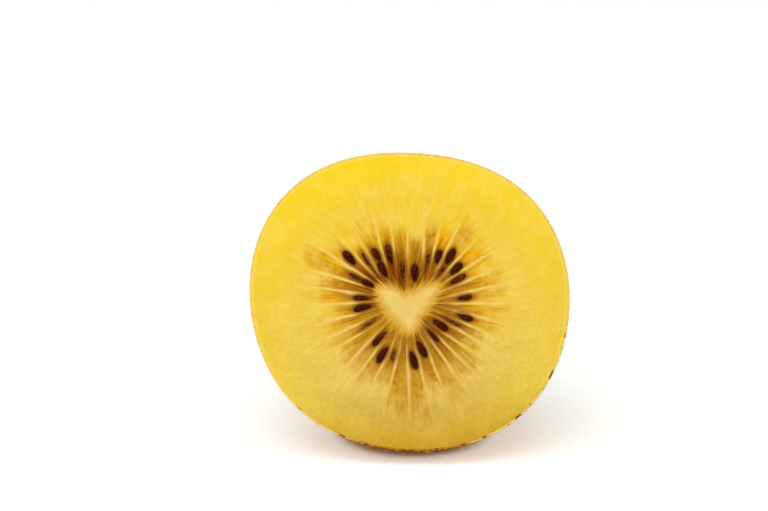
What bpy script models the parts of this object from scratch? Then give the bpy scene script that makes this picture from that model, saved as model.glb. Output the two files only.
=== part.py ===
"""Half of a golden kiwi fruit, cut across its middle and leaning back on its round side.

The half is drawn upright first: X to the right and Z up across the cut face, Y into the fruit, with the
fruit's axis at X = Z = 0 and the cut at Y = 0. The placement then leans it back, and puts the centre of the
small flat spot that it rests on at the origin. Lengths are in metres.
"""

import math

import bmesh
import bpy
from mathutils import Matrix, Vector

MM = 0.001

# Outside of the fruit
FACE_RADIUS = 25.3 * MM          # mean radius of the cut face, skin included
FACE_WIDER = 0.95 * MM           # how far the face is wider along one line
FACE_WIDER_BEARING = math.radians(-11.6)
FACE_EGG = 0.27 * MM             # slightly fuller at the lower side
FACE_SQUARE = 0.35 * MM          # slightly fuller at the diagonals
HALF_DEPTH = 33.5 * MM           # from the cut to the stem end
FULLNESS = 2.2                   # 2 is an ellipse, more is blunter
DIMPLE_DEPTH = 0.9 * MM          # the hollow round the stem scar
DIMPLE_RADIUS = 4.5 * MM
SCAR_RADIUS = 2.1 * MM
SCAR_RISE = 0.8 * MM

# Layers
SKIN_THICKNESS = 0.6 * MM
GAP = 0.3 * MM                   # left between two tissues
RIM_BEVEL = 0.5 * MM             # the flesh is rounded off where the cut meets the skin

# Core
CORE_CENTRE = Vector((-0.37 * MM, -0.8 * MM))
CORE_OUTLINE = (                 # bearing in degrees and radius in mm, round the heart shape
    (14, 4.6), (28, 5.8), (36, 5.7), (43, 4.8), (58, 2.8), (84, 1.95), (111, 2.05), (126, 3.2),
    (135, 4.2), (145, 5.2), (156, 5.3), (169, 4.7), (189, 3.75), (218, 3.3), (253, 3.7), (275, 4.5),
    (317, 3.05), (350, 3.4))
CORE_DEPTH = 23 * MM
CORE_CROWN = 0.15 * MM           # the core's middle stands this far proud of the cut
CORE_CROWN_RINGS = ((0.5, -0.8), (0.92, -0.3), (1.0, 0.3))    # share of the section, depth in crowns

# Rays: bearing 12.9 mm from the middle of the pattern, and how far the run swings from radial, in degrees
RAYS = (
    (1, 0), (12, 1), (22, 1), (32, 2), (43, 5), (56, 9), (67, 10), (78, 11), (90, 0), (102, -5), (113, -7),
    (127, -7), (137, -3), (148, 0), (160, 3), (170, 3), (181, 3), (193, 2), (204, 2), (213, 0), (226, 1),
    (236, -2), (248, -4), (259, -3), (272, 1), (283, 1), (294, -1), (305, 1), (315, 1), (324, 2), (333, -3),
    (341, -3), (350, -4))
RAY_CENTRE = Vector((-0.4 * MM, -0.66 * MM))
RAY_BEARING_RADIUS = 12.9 * MM
RAY_RISE = 0.12 * MM
CHAMBER_SINK = 0.4 * MM          # the seed chambers between the rays lie this far below the cut
CHAMBER_LENGTH = 9.5 * MM        # from the core outwards
CHAMBER_COLUMNS = (0.0, 0.3, 0.7)    # where the mesh has a line, from one ray to the next
CHAMBER_RINGS = (0.0, 0.06, 0.26, 0.53, 0.79, 1.0)    # shares of the chamber's length
CHAMBER_SKEW = 0.6               # below 1 the chamber is deepest nearer the core
OUTER_RINGS = (0.55, 1.0)        # shares of what is left from the chamber's end to the rim

# Seeds: place across the face in mm, bearing of the long axis in degrees, and size against a full seed
SEEDS = (
    (-9.8, 6.7, 132, 1.0), (-7.0, 6.5, 124, 0.8), (-5.4, 7.3, 126, 0.8), (-4.3, 4.9, 120, 1.0),
    (-3.3, 7.3, 106, 1.0), (-1.1, 4.6, 94, 0.9), (0.8, 4.4, 92, 1.0), (2.8, 6.0, 78, 0.9),
    (4.6, 7.0, 76, 0.9), (6.5, 7.1, 63, 1.0), (7.5, 5.1, 47, 1.0), (5.2, 4.7, 51, 0.65),
    (7.8, 3.4, 31, 0.9), (8.9, 0.5, 8, 0.9), (9.0, -2.6, 340, 0.95), (5.0, -4.0, 323, 1.0),
    (7.0, -3.4, 334, 0.75), (3.9, -5.6, 311, 0.85), (2.1, -7.9, 304, 1.0), (0.8, -9.7, 290, 1.0),
    (-2.4, -9.0, 251, 0.65), (-4.2, -8.9, 236, 1.0), (-4.7, -6.3, 226, 0.95), (-6.5, -4.0, 216, 0.75),
    (-7.6, -1.4, 195, 1.0), (-7.8, 0.2, 181, 0.9), (-6.7, 2.5, 150, 0.9), (-8.7, 3.6, 150, 0.75))
SEED_LENGTH = 2.8 * MM
SEED_WIDTH = 1.4 * MM
SEED_THICKNESS = 1.1 * MM
SEED_TAPER = 0.35                # how much narrower the end towards the core is
SEED_SINK = 0.1 * MM             # the seed's middle below the cut

# Rest
LEAN = math.radians(20)          # the cut face leans back by this much
FLAT_DEPTH = 0.75 * MM           # how deep the fruit's own weight has pressed its flat spot
FLAT_TOLERANCE = 0.001 * MM

# Fineness
SKIN_COLUMNS = 66
CORE_COLUMNS = 48
SIDE_RINGS = 10                  # from the cut to the stem end
POLE_RING_RADII = (4.4 * MM, 2.7 * MM, 2.0 * MM)
CORE_RINGS = (0.4, 0.72, 0.93)   # shares of the core's depth
WALK_STEP = 0.05 * MM
SPOT_STEPS = 180
SHARP_EDGE = math.radians(35)

# Finish
SKIN_COLOUR = (0.42, 0.22, 0.08)
FLESH_COLOUR = (0.9, 0.66, 0.06)
CORE_COLOUR = (0.86, 0.62, 0.22)
SKIN_ROUGHNESS = 0.7
FLESH_ROUGHNESS = 0.3
CORE_ROUGHNESS = 0.4


def outline_radius(angle):
    """Radius of the skin's outside at the cut, at a bearing round the axis."""
    wider = FACE_WIDER * math.cos(2 * (angle - FACE_WIDER_BEARING))
    return FACE_RADIUS + wider + FACE_EGG * math.sin(3 * angle) - FACE_SQUARE * math.cos(4 * angle)


def core_radius(angle):
    """Radius of the core's outline round its own centre: a smooth closed curve through its points."""
    bearing = math.degrees(angle) % 360
    count = len(CORE_OUTLINE)
    index = sum(1 for corner, _ in CORE_OUTLINE if corner <= bearing) - 1
    (b0, r0), (b1, r1), (b2, r2), (b3, r3) = (CORE_OUTLINE[(index + step) % count] for step in (-1, 0, 1, 2))
    span = (b2 - b1) % 360
    share = (bearing - b1) % 360 / span
    leave = (r2 - r0) / ((b2 - b0) % 360) * span
    arrive = (r3 - r1) / ((b3 - b1) % 360) * span
    blend = share * share * (3 - 2 * share)
    bend = share * (1 - share) * (leave * (1 - share) - arrive * share)
    return (r1 + (r2 - r1) * blend + bend) * MM


def stem_end(radius, with_scar):
    """How far the surface moves into the fruit near the axis: a dimple, with the woody scar in it."""
    dip = DIMPLE_DEPTH * math.exp(-(radius / DIMPLE_RADIUS) ** 2)
    if with_scar and radius < SCAR_RADIUS:
        dip -= SCAR_RISE
    return dip


def side_turns(inset):
    """The steps from the cut to the stem end: even ones, then those that follow the dimple."""
    turns = [math.pi / 2 * step / SIDE_RINGS for step in range(SIDE_RINGS)]
    for radius in POLE_RING_RADII:
        turns.append(math.acos((radius / (FACE_RADIUS - inset)) ** (FULLNESS / 2)))
    return sorted(turns)


def side_point(angle, turn, inset, with_scar=False):
    """A point on the outside, or on a layer that lies inset below it."""
    radius = (outline_radius(angle) - inset) * math.cos(turn) ** (2 / FULLNESS)
    depth = (HALF_DEPTH - inset) * math.sin(turn) ** (2 / FULLNESS) - stem_end(radius, with_scar)
    if turn == 0:
        depth = 0.0
    return Vector((radius * math.cos(angle), depth, radius * math.sin(angle)))


def pole_point(inset, with_scar=False):
    """The point where a layer crosses the axis at the stem end."""
    return Vector((0, HALF_DEPTH - inset - stem_end(0, with_scar), 0))


def placement():
    """Lean the half back and put the centre of the flat spot that forms under it at the origin."""
    lean = Matrix.Rotation(-LEAN, 4, 'X')
    points = [lean @ side_point(math.tau * column / SPOT_STEPS, math.pi / 2 * row / SPOT_STEPS, 0)
              for column in range(SPOT_STEPS) for row in range(SPOT_STEPS)]
    floor = min(point.z for point in points) + FLAT_DEPTH
    spot = [point for point in points if point.z < floor]
    middle_x = (min(point.x for point in spot) + max(point.x for point in spot)) / 2
    middle_y = (min(point.y for point in spot) + max(point.y for point in spot)) / 2
    return Matrix.Translation((-middle_x, -middle_y, -floor)) @ lean


def closed_mesh(rings):
    """A closed mesh over rings of points, whose first and last rings are single points."""
    mesh = bmesh.new()
    rows = [[mesh.verts.new(point) for point in ring] for ring in rings]
    count = len(rows[1])
    for column in range(count):
        beside = (column + 1) % count
        mesh.faces.new((rows[0][0], rows[1][column], rows[1][beside]))
        mesh.faces.new((rows[-1][0], rows[-2][beside], rows[-2][column]))
        for upper, lower in zip(rows[1:-2], rows[2:-1]):
            mesh.faces.new((upper[column], lower[column], lower[beside], upper[beside]))
    bmesh.ops.recalc_face_normals(mesh, faces=mesh.faces)
    return mesh, rows


def press(vertices, place, height):
    """Lift every vertex that lies under a height above the floor up to it."""
    up = place.to_3x3().inverted() @ Vector((0, 0, 1))
    for vertex in vertices:
        short = height - (place @ vertex.co).z
        if short > 0:
            vertex.co += up * short


def add_object(name, mesh, colour, roughness, parent):
    """Turn a finished bmesh into an object with its own material."""
    data = bpy.data.meshes.new(name)
    mesh.to_mesh(data)
    mesh.free()
    material = bpy.data.materials.new(name)
    material.use_nodes = True
    shader = material.node_tree.nodes["Principled BSDF"]
    shader.inputs["Base Color"].default_value = (*colour, 1)
    shader.inputs["Roughness"].default_value = roughness
    shader.inputs["Metallic"].default_value = 0.0
    data.materials.append(material)
    data.shade_smooth()
    data.set_sharp_from_angle(angle=SHARP_EDGE)
    part = bpy.data.objects.new(name, data)
    bpy.context.collection.objects.link(part)
    part.parent = parent
    return part


def make_skin(place, parent):
    """The skin: a thin cup, open at the cut, pressed flat where it rests."""
    angles = [math.tau * column / SKIN_COLUMNS for column in range(SKIN_COLUMNS)]
    inner = [[side_point(angle, turn, SKIN_THICKNESS) for angle in angles]
             for turn in side_turns(SKIN_THICKNESS)]
    outer = [[side_point(angle, turn, 0, True) for angle in angles] for turn in side_turns(0)]
    rings = [[pole_point(SKIN_THICKNESS)], *reversed(inner), *outer, [pole_point(0, True)]]
    mesh, rows = closed_mesh(rings)
    inner_vertices = [vertex for row in rows[:len(inner) + 1] for vertex in row]
    outer_vertices = [vertex for row in rows[len(inner) + 1:] for vertex in row]

    outside = set(outer_vertices)
    outer_edges = [edge for edge in mesh.edges if outside.issuperset(edge.verts)]
    outer_faces = [face for face in mesh.faces if outside.issuperset(face.verts)]
    to_local = place.inverted()
    bmesh.ops.bisect_plane(mesh, geom=[*outer_vertices, *outer_edges, *outer_faces],
                           plane_co=to_local.translation, plane_no=to_local.to_3x3() @ Vector((0, 0, 1)))
    press(inner_vertices, place, SKIN_THICKNESS)
    press(outer_vertices, place, 0.0)
    flat = [face for face in mesh.faces
            if max(abs((place @ vertex.co).z) for vertex in face.verts) < FLAT_TOLERANCE]
    bmesh.ops.dissolve_faces(mesh, faces=flat, use_verts=True)
    add_object("skin", mesh, SKIN_COLOUR, SKIN_ROUGHNESS, parent)


def core_point(angle, depth, share):
    """A point of the core's heart-shaped section at a depth, drawn in to a share of its full size."""
    radius = core_radius(angle) * share
    return Vector((CORE_CENTRE.x + radius * math.cos(angle), depth, CORE_CENTRE.y + radius * math.sin(angle)))


def make_core(parent):
    """The core: a heart-shaped plug that tapers away inside the flesh."""
    angles = [math.tau * column / CORE_COLUMNS for column in range(CORE_COLUMNS)]
    rings = [[Vector((CORE_CENTRE.x, -CORE_CROWN, CORE_CENTRE.y))]]
    for share, crowns in CORE_CROWN_RINGS:
        rings.append([core_point(angle, crowns * CORE_CROWN, share) for angle in angles])
    for depth_share in CORE_RINGS:
        share = math.sqrt(1 - depth_share ** 2)
        rings.append([core_point(angle, CORE_DEPTH * depth_share, share) for angle in angles])
    rings.append([Vector((CORE_CENTRE.x, CORE_DEPTH, CORE_CENTRE.y))])
    mesh, _ = closed_mesh(rings)
    add_object("core", mesh, CORE_COLOUR, CORE_ROUGHNESS, parent)


def walk(start, direction, inside):
    """Go from a point along a direction for as long as the test holds."""
    point = start.copy()
    while inside(point):
        point += direction * WALK_STEP
    return point


def between_core_and_skin():
    """Run the mesh's lines along the rays: each from the core's pocket to the rim of the flesh.

    Gives for each line its two ends, and whether it lies on a ray or in a chamber.
    """
    rim_inset = SKIN_THICKNESS + GAP + RIM_BEVEL

    def off_the_core(point):
        arm = point - CORE_CENTRE
        return arm.length > core_radius(math.atan2(arm.y, arm.x)) + GAP

    def within_the_rim(point):
        return point.length < outline_radius(math.atan2(point.y, point.x)) - rim_inset

    lines = []
    for index, (bearing, swing) in enumerate(RAYS):
        next_bearing, next_swing = RAYS[(index + 1) % len(RAYS)]
        if next_bearing < bearing:
            next_bearing += 360
        for share in CHAMBER_COLUMNS:
            angle = math.radians(bearing + (next_bearing - bearing) * share)
            heading = angle + math.radians(swing + (next_swing - swing) * share)
            start = RAY_CENTRE + RAY_BEARING_RADIUS * Vector((math.cos(angle), math.sin(angle)))
            out = Vector((math.cos(heading), math.sin(heading)))
            lines.append((walk(start, -out, off_the_core), walk(start, out, within_the_rim), share == 0))
    return lines


def face_rings(lines):
    """Points of the flesh's cut face, from the core's pocket to the rim, with rays and chambers in relief."""
    rings = []
    for share in CHAMBER_RINGS:
        swell = math.sin(math.pi * share ** CHAMBER_SKEW)
        ring = []
        for inner, outer, on_ray in lines:
            point = inner + (outer - inner).normalized() * CHAMBER_LENGTH * share
            depth = -RAY_RISE * swell if on_ray else CHAMBER_SINK * swell
            ring.append(Vector((point.x, depth, point.y)))
        rings.append(ring)
    for share in OUTER_RINGS:
        ring = []
        for inner, outer, _ in lines:
            edge = inner + (outer - inner).normalized() * CHAMBER_LENGTH
            point = edge + (outer - edge) * share
            ring.append(Vector((point.x, 0, point.y)))
        rings.append(ring)
    return rings


def pocket_rings(lines):
    """The pocket that the core sits in, from its bottom to just under the cut."""
    rings = []
    for depth_share in reversed(CORE_RINGS):
        share = math.sqrt(1 - depth_share ** 2)
        ring = []
        for inner, _, _ in lines:
            point = CORE_CENTRE + (inner - CORE_CENTRE) * share
            ring.append(Vector((point.x, (CORE_DEPTH + GAP) * depth_share, point.y)))
        rings.append(ring)
    return rings


def make_seed(index, across, up, bearing, size):
    """One seed: a flattened drop with its narrow end towards the core."""
    mesh = bmesh.new()
    bmesh.ops.create_icosphere(mesh, subdivisions=1, radius=1.0)
    for vertex in mesh.verts:
        along, over, through = vertex.co
        narrow = 1 - SEED_TAPER * max(0.0, -along)
        vertex.co = Vector((along * SEED_LENGTH, over * SEED_WIDTH * narrow,
                            through * SEED_THICKNESS * narrow)) * (size / 2)
    data = bpy.data.meshes.new(f"seed_{index}")
    mesh.to_mesh(data)
    mesh.free()
    seed = bpy.data.objects.new(data.name, data)
    seed.location = (across * MM, SEED_SINK, up * MM)
    turn = Matrix.Rotation(-math.radians(bearing), 4, 'Y') @ Matrix.Rotation(math.pi / 2, 4, 'X')
    seed.rotation_euler = turn.to_euler()
    return seed


def make_flesh(place, parent):
    """The flesh with its relief and the core's pocket, and the seeds fused to it."""
    inset = SKIN_THICKNESS + GAP
    lines = between_core_and_skin()
    side = [[side_point(math.atan2(outer.y, outer.x), turn, inset) for _, outer, _ in lines]
            for turn in side_turns(inset)]
    for point in side[0]:
        point.y = RIM_BEVEL
    rings = [[Vector((CORE_CENTRE.x, CORE_DEPTH + GAP, CORE_CENTRE.y))], *pocket_rings(lines),
             *face_rings(lines), *side, [pole_point(inset)]]
    mesh, rows = closed_mesh(rings)
    press([vertex for row in rows for vertex in row], place, inset)
    flesh = add_object("flesh", mesh, FLESH_COLOUR, FLESH_ROUGHNESS, parent)

    seeds = bpy.data.collections.new("seeds")
    bpy.context.scene.collection.children.link(seeds)
    for index, place_and_size in enumerate(SEEDS):
        seed = make_seed(index, *place_and_size)
        seed.parent = parent
        seeds.objects.link(seed)
    join = flesh.modifiers.new("seeds", 'BOOLEAN')
    join.operation = 'UNION'
    join.operand_type = 'COLLECTION'
    join.collection = seeds
    join.solver = 'EXACT'
    bpy.context.view_layer.update()
    joined = bpy.data.meshes.new_from_object(flesh.evaluated_get(bpy.context.evaluated_depsgraph_get()))
    flesh.modifiers.remove(join)
    flesh.data = joined
    joined.name = "flesh"
    for seed in list(seeds.objects):
        bpy.data.objects.remove(seed)
    bpy.data.collections.remove(seeds)


def main():
    for old in list(bpy.data.objects):
        bpy.data.objects.remove(old, do_unlink=True)
    place = placement()
    half = bpy.data.objects.new("half", None)
    half.matrix_world = place
    bpy.context.collection.objects.link(half)
    make_skin(place, half)
    make_flesh(place, half)
    make_core(half)
    bpy.context.view_layer.update()


main()
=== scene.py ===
# Half a golden kiwi leaning back on its skin: the looks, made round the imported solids.
import math

import bpy
import numpy as np
from mathutils import Matrix, Vector, noise


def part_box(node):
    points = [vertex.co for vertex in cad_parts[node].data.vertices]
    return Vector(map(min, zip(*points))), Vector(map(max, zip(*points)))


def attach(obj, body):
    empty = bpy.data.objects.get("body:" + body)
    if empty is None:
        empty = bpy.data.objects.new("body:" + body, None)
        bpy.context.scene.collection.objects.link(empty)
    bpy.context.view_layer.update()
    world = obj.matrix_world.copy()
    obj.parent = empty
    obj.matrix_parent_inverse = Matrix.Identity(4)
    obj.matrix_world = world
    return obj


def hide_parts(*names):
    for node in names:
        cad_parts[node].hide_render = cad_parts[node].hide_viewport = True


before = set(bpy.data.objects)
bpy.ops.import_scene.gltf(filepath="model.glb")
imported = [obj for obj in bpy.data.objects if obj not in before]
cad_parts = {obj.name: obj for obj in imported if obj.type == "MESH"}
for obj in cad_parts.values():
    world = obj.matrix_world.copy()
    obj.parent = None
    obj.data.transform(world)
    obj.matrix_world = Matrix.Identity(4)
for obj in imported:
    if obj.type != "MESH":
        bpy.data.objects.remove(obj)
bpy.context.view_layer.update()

mm = 0.001

# Shapes are worked out in mm on the upright half: X to the right and Z up across the cut, Y into the fruit.
fruit = {
    "faceRadius": 25.3,          # mean radius of the cut, skin included
    "wider": 0.95,               # how far the cut is wider along one line
    "widerBearing": -11.6,
    "egg": 0.27,                 # how far it is egg-shaped, and how far squarish
    "square": 0.35,
    "halfDepth": 33.5,           # from the cut to the stem end
    "fullness": 2.2,             # 2 is an ellipse, more is blunter
    "dimpleDepth": 0.9,
    "dimpleRadius": 4.5,
    "lean": 20,                  # degrees that the cut leans back
}


def outlineRadius(angle):
    wider = fruit["wider"] * np.cos(2 * (angle - math.radians(fruit["widerBearing"])))
    egg = fruit["egg"] * np.sin(3 * angle)
    return fruit["faceRadius"] + wider + egg - fruit["square"] * np.cos(4 * angle)


def aroundAxis(angle, radius, depth):    # a place at this radius and depth, at an angle round the axis
    return np.stack([radius * np.cos(angle), depth, radius * np.sin(angle)], axis=-1)


def dimpleAt(radius):
    return fruit["dimpleDepth"] * np.exp(-(radius / fruit["dimpleRadius"]) ** 2)


def sidePoints(angle, turn, inset):      # turn goes from 0 at the cut to a quarter turn at the stem end
    power = 2 / fruit["fullness"]
    radius = (outlineRadius(angle) - inset) * np.cos(turn) ** power
    depth = (fruit["halfDepth"] - inset) * np.sin(turn) ** power
    return aroundAxis(angle, radius, depth - dimpleAt(radius) * np.sin(turn))


def findPlacement():                     # how the upright half leans back, and where, by the skin's box
    low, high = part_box("skin")
    angles = np.linspace(0, math.tau, 1441)
    rimX = outlineRadius(angles) * np.cos(angles) * mm
    rimZ = outlineRadius(angles) * np.sin(angles) * mm
    lean = math.radians(fruit["lean"])
    shift = (low.x - rimX.min(), low.y - rimZ.min() * math.sin(lean), high.z - rimZ.max() * math.cos(lean))
    return Matrix.Translation(shift) @ Matrix.Rotation(-lean, 4, 'X')


placement = findPlacement()
turnRows = np.array(placement.to_3x3())
shiftRow = np.array(placement.translation)


def toWorld(points):                     # upright mm to metres where the half stands
    return points * mm @ turnRows.T + shiftRow


def columnAngles(count):
    return np.arange(count) * math.tau / count


def pressed(points, height):             # nothing goes below this height over the floor, in mm
    points = points.copy()
    points[..., 2] = np.maximum(points[..., 2], height * mm)
    return points


def smooth(low, high, value):
    share = np.clip((value - low) / (high - low), 0, 1)
    return share * share * (3 - 2 * share)


def noiseOver(points, scale, seed):      # soft noise, about -1 to 1, at each point of an array
    flat = points.reshape(-1, 3) * scale + seed
    return np.array([noise.noise(point) for point in flat]).reshape(points.shape[:-1])


def streaksFrom(points, centre):         # noise read at these places runs in lines away from the centre
    moveX, moveZ = points[..., 0] - centre[0], points[..., 2] - centre[1]
    radius = np.hypot(moveX, moveZ)
    reach = np.maximum(radius, 0.1)
    return np.stack([moveX / reach, moveZ / reach, radius * 0.009], axis=-1)


def startPiece(name):
    piece = bpy.context.object
    piece.name = name
    piece.data.name = name
    return piece


def selectOnly(piece):
    bpy.ops.object.select_all(action='DESELECT')
    piece.select_set(True)
    bpy.context.view_layer.objects.active = piece


def spinBlank(name, ringCount, columnCount):
    # A chain of edges turned once round Z and welded: a round blank with a pole at each end.
    bpy.ops.object.select_all(action='DESELECT')
    bpy.ops.mesh.primitive_circle_add(vertices=ringCount, fill_type='NOTHING')
    piece = startPiece(name)
    for index, vertex in enumerate(piece.data.vertices):
        vertex.co = (0 if index in (0, ringCount - 1) else 1, 0, index)
    bpy.ops.object.mode_set(mode='EDIT')
    bpy.ops.mesh.select_mode(type='EDGE')
    bpy.ops.mesh.select_all(action='DESELECT')
    bpy.ops.object.mode_set(mode='OBJECT')
    for edge in piece.data.edges:
        edge.select = abs(edge.vertices[0] - edge.vertices[1]) > 1    # the edge that closes the circle
    bpy.ops.object.mode_set(mode='EDIT')
    bpy.ops.mesh.delete(type='EDGE')
    bpy.ops.mesh.select_mode(type='VERT')
    bpy.ops.mesh.select_all(action='SELECT')
    bpy.ops.mesh.spin(steps=columnCount, angle=math.tau, center=(0, 0, 0), axis=(0, 0, 1))
    bpy.ops.mesh.select_all(action='SELECT')
    bpy.ops.mesh.remove_doubles(threshold=0.0001)
    bpy.ops.object.mode_set(mode='OBJECT')
    return piece


def shapeBlank(name, grid):
    # grid holds a place in metres for every ring and column; its first and last rings are the poles.
    ringCount, columnCount = grid.shape[:2]
    piece = spinBlank(name, ringCount, columnCount)
    blank = np.zeros(len(piece.data.vertices) * 3)
    piece.data.vertices.foreach_get("co", blank)
    blank = blank.reshape(-1, 3)
    ring = np.rint(blank[:, 2]).astype(int)
    turn = np.arctan2(blank[:, 1], blank[:, 0]) / math.tau
    column = np.rint(turn * columnCount).astype(int) % columnCount
    column[(ring == 0) | (ring == ringCount - 1)] = 0
    piece.data.vertices.foreach_set("co", grid[ring, column].ravel())
    piece.data.update()
    bpy.ops.object.mode_set(mode='EDIT')
    bpy.ops.mesh.select_all(action='SELECT')
    bpy.ops.mesh.normals_make_consistent(inside=False)
    bpy.ops.object.mode_set(mode='OBJECT')
    bpy.ops.object.shade_smooth_by_angle(angle=math.radians(50))
    return piece, ring, column


def addAttribute(piece, name, values):
    kind = 'FLOAT_VECTOR' if values.ndim == 2 else 'FLOAT'
    slot = "vector" if values.ndim == 2 else "value"
    attribute = piece.data.attributes.get(name) or piece.data.attributes.new(name, kind, 'POINT')
    attribute.data.foreach_set(slot, np.ascontiguousarray(values, dtype=np.float32).ravel())


def finishPiece(piece, material):
    piece.data.materials.clear()
    piece.data.materials.append(material)
    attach(piece, "root")


# Colours are given as they look on a screen, 0 to 255.
def colour(red, green, blue):
    def linear(value):
        value = value / 255
        return value / 12.92 if value <= 0.04045 else ((value + 0.055) / 1.055) ** 2.4
    return (linear(red), linear(green), linear(blue), 1)


def addNode(tree, kind, settings=None, **inputs):
    made = tree.nodes.new(kind)
    for name, value in (settings or {}).items():
        setattr(made, name, value)
    for name, value in inputs.items():
        socket = made.inputs[int(name[1:])] if name[0] == "i" and name[1:].isdigit() else made.inputs[name]
        if isinstance(value, bpy.types.NodeSocket):
            tree.links.new(value, socket)
        else:
            socket.default_value = value
    return made


def mathOf(tree, operation, first, second):
    return addNode(tree, 'ShaderNodeMath', {"operation": operation}, i0=first, i1=second).outputs[0]


def times(tree, first, second):
    return mathOf(tree, 'MULTIPLY', first, second)


def plus(tree, first, second):
    return mathOf(tree, 'ADD', first, second)


def swing(tree, value, amount):          # noise from 0 to 1 becomes a swing of this much round 0
    return times(tree, mathOf(tree, 'SUBTRACT', value, 0.5), amount)


def mixOf(tree, share, first, second, blend='MIX'):
    settings = {"data_type": 'RGBA', "blend_type": blend}
    return addNode(tree, 'ShaderNodeMix', settings, i0=share, i6=first, i7=second).outputs[2]


def readAttribute(tree, name, output="Fac"):
    return addNode(tree, 'ShaderNodeAttribute', {"attribute_name": name}).outputs[output]


def noiseOf(tree, vector, scale, detail, roughness):
    made = addNode(tree, 'ShaderNodeTexNoise', None, Vector=vector, Scale=scale, Detail=detail,
                   Roughness=roughness)
    return made.outputs["Fac"]


def spread(tree, value, low, high, newLow=0.0, newHigh=1.0, kind='SMOOTHSTEP'):
    made = addNode(tree, 'ShaderNodeMapRange', {"interpolation_type": kind}, i0=value, i1=low, i2=high,
                   i3=newLow, i4=newHigh)
    return made.outputs[0]


def rampOf(tree, value, stops):
    made = addNode(tree, 'ShaderNodeValToRGB', None, i0=value)
    ramp = made.color_ramp
    while len(ramp.elements) < len(stops):
        ramp.elements.new(0.5)
    for element, (place, tone) in zip(ramp.elements, stops):
        element.position = place
        element.color = tone
    return made.outputs[0]


def startMaterial(name, **values):
    material = bpy.data.materials.new(name)
    material.use_nodes = True
    tree = material.node_tree
    shader = tree.nodes["Principled BSDF"]
    for socket, value in values.items():
        shader.inputs[socket.replace("_", " ")].default_value = value
    objectPlace = addNode(tree, 'ShaderNodeTexCoord').outputs["Object"]
    return material, tree, shader, objectPlace


def bumpOf(tree, height, depth):         # depth in mm
    return addNode(tree, 'ShaderNodeBump', None, Height=height, Distance=depth * mm).outputs[0]


def connect(tree, shader, **values):
    for socket, value in values.items():
        tree.links.new(value, shader.inputs[socket.replace("_", " ")])


print("placed the half, face centre at", [round(value * 1000, 2) for value in placement.translation])


# the cut face, in mm from the fruit's axis; bearings are in degrees from the right, anticlockwise
face = {
    "coreCentre": (-0.37, -0.8),
    # bearing and radius along the outline of the heart-shaped core
    "coreOutline": ((14, 4.6), (28, 5.8), (36, 5.7), (43, 4.8), (58, 2.8), (84, 1.95), (111, 2.05),
                    (126, 3.2), (135, 4.2), (145, 5.2), (156, 5.3), (169, 4.7), (189, 3.75), (218, 3.3),
                    (253, 3.7), (275, 4.5), (317, 3.05), (350, 3.4)),
    "coreDepth": 23,
    "coreCrown": 0.15,
    "rayCentre": (-0.4, -0.66),
    "rayBearingRadius": 12.9,    # how far out a ray is right on its bearing
    # bearing of each pale ray, how far its own line turns from it, how far out the amber on its left
    # reaches, and how plain the ray is
    "rays": ((1, 0, 14.5, 0.9), (12, 1, 14.5, 0.85), (22, 1, 14.5, 0.8), (32, 2, 15, 0.5),
             (43, 5, 15.5, 0.6), (56, 9, 14, 0.6), (67, 10, 12.5, 0.5), (78, 11, 10, 0.7),
             (90, 0, 11.5, 0.55), (102, -5, 14, 0.55), (113, -7, 14, 0.8), (127, -7, 14, 0.7),
             (137, -3, 14.5, 0.5), (148, 0, 17, 1), (160, 3, 15, 0.6), (170, 3, 14, 0.8),
             (181, 3, 12.5, 0.7), (193, 2, 13, 1), (204, 2, 12.5, 0.9), (213, 0, 13, 0.6),
             (226, 1, 12, 0.8), (236, -2, 13, 0.5), (248, -4, 13, 0.7), (259, -3, 16.5, 0.9),
             (272, 1, 17.5, 1), (283, 1, 14, 0.6), (294, -1, 15, 0.7), (305, 1, 14, 0.7),
             (315, 1, 14.5, 0.8), (324, 2, 13, 0.6), (333, -3, 13.5, 0.7), (341, -3, 14.5, 0.9),
             (350, -4, 15, 0.9)),
    # bearing, and how brown the amber is there close to the core
    "deepAmber": ((0, 0.45), (30, 0.6), (60, 0.75), (90, 0.45), (115, 1.0), (145, 1.0), (180, 0.65),
                  (215, 0.15), (270, 0.35), (315, 0.7), (340, 0.6), (360, 0.45)),
    "rayRise": 0.12,
    "chamberSink": 0.34,
    "skinEdge": 0.3,             # thickness of the skin where it shows at the cut
    "rimRound": 0.22,
    "sideGap": 0.02,             # between the flesh and the inside of the skin
    "columns": 720,
    "faceRings": 70,
}


def coreRadius(angle):
    bearings, radii = np.array(face["coreOutline"], dtype=float).T
    degrees = np.degrees(angle) % 360
    first = (np.searchsorted(bearings, degrees, side='right') - 1) % len(bearings)
    second = (first + 1) % len(bearings)
    before = first - 1
    after = (second + 1) % len(bearings)
    span = (bearings[second] - bearings[first]) % 360
    share = (degrees - bearings[first]) % 360 / span
    leave = (radii[second] - radii[before]) / ((bearings[second] - bearings[before]) % 360) * span
    arrive = (radii[after] - radii[first]) / ((bearings[after] - bearings[first]) % 360) * span
    step = (radii[second] - radii[first]) * (3 * share ** 2 - 2 * share ** 3)
    return radii[first] + step + share * (1 - share) * (leave * (1 - share) - arrive * share)


def coreDistance(points):                # outwards from the core's outline, in mm
    centreX, centreZ = face["coreCentre"]
    angle = np.arctan2(points[..., 2] - centreZ, points[..., 0] - centreX)
    radius = coreRadius(angle)
    slope = (coreRadius(angle + 0.02) - coreRadius(angle - 0.02)) / 0.04 / radius
    outwards = np.hypot(points[..., 0] - centreX, points[..., 2] - centreZ) - radius
    return outwards / np.sqrt(1 + slope ** 2)


def corePoints(angle, scale, depth):
    radius = coreRadius(angle) * scale
    across = face["coreCentre"][0] + radius * np.cos(angle)
    up = face["coreCentre"][1] + radius * np.sin(angle)
    return np.stack([across, depth + 0 * across, up], axis=-1)


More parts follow.
